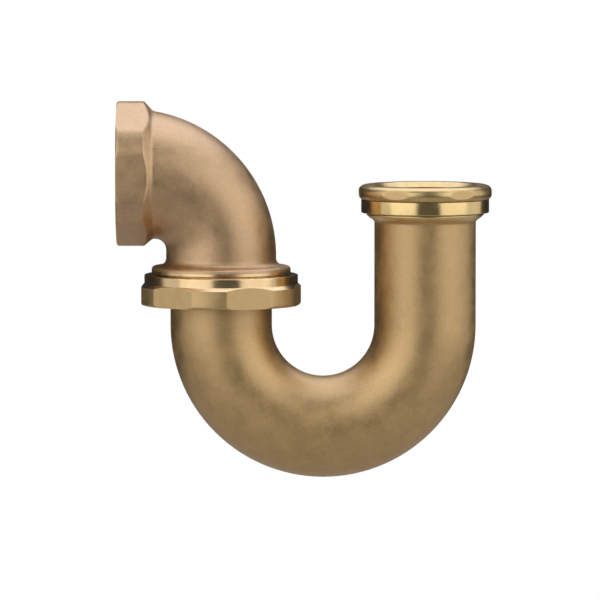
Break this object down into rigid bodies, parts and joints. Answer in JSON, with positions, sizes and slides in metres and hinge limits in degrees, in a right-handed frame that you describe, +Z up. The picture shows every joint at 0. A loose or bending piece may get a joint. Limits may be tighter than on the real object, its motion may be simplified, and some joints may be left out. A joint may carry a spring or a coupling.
{
  "type": "p trap",
  "caption": "Cast brass P trap with a threaded outlet elbow, a swivelling union and a U bend with a slip joint inlet.",
  "frame": {"origin": "centre of the outlet's end face, on the outlet's axis", "axes": "-X out of the outlet towards the wall, +X towards the inlet, +Z up out of the inlet, Y across the trap"},
  "size_m": [0.1573, 0.068, 0.158],
  "materials": {
    "cast_brass": "satin, fine blasted casting skin",
    "turned_brass": "turned, semi-bright, satin on the wrench flats",
    "fibre": "matt vulcanised fibre",
    "rubber": "matt black rubber"
  },
  "bodies": {
    "outlet_elbow": {"outlet_elbow": "cast_brass"},
    "union_washer": {"union_washer": "fibre"},
    "union_nut": {"union_nut": "turned_brass"},
    "j_bend": {"j_bend": "cast_brass"},
    "slip_washer": {"slip_washer": "rubber"},
    "slip_nut": {"slip_nut": "turned_brass"}
  },
  "joints": [
    {"name": "union_drop", "type": "slide", "parent": "outlet_elbow", "child": "union_washer", "axis": [0, 0, -1], "range_m": [0, 0.00883]},
    {"name": "union_nut_turn", "type": "hinge", "parent": "union_washer", "child": "union_nut", "pos_m": [0.0438, 0, -0.048], "axis": [0, 0, -1], "range_deg": [0, 1440]},
    {"name": "trap_swivel", "type": "hinge", "parent": "union_washer", "child": "j_bend", "pos_m": [0.0438, 0, -0.048], "axis": [0, 0, 1], "range_deg": [-140, 140]},
    {"name": "slip_nut_lift", "type": "slide", "parent": "j_bend", "child": "slip_washer", "axis": [0, 0, 1], "range_m": [0, 0.00663]},
    {"name": "slip_nut_turn", "type": "hinge", "parent": "slip_washer", "child": "slip_nut", "pos_m": [0.1294, 0, -0.01], "axis": [0, 0, 1], "range_deg": [0, 1079]}
  ],
  "couplings": [
    {"joint": "union_nut_turn", "follows": "union_drop", "rad_per_m": 2844.7},
    {"joint": "slip_nut_lift", "follows": "slip_nut_turn", "m_per_rad": 0.00035152}
  ]
}
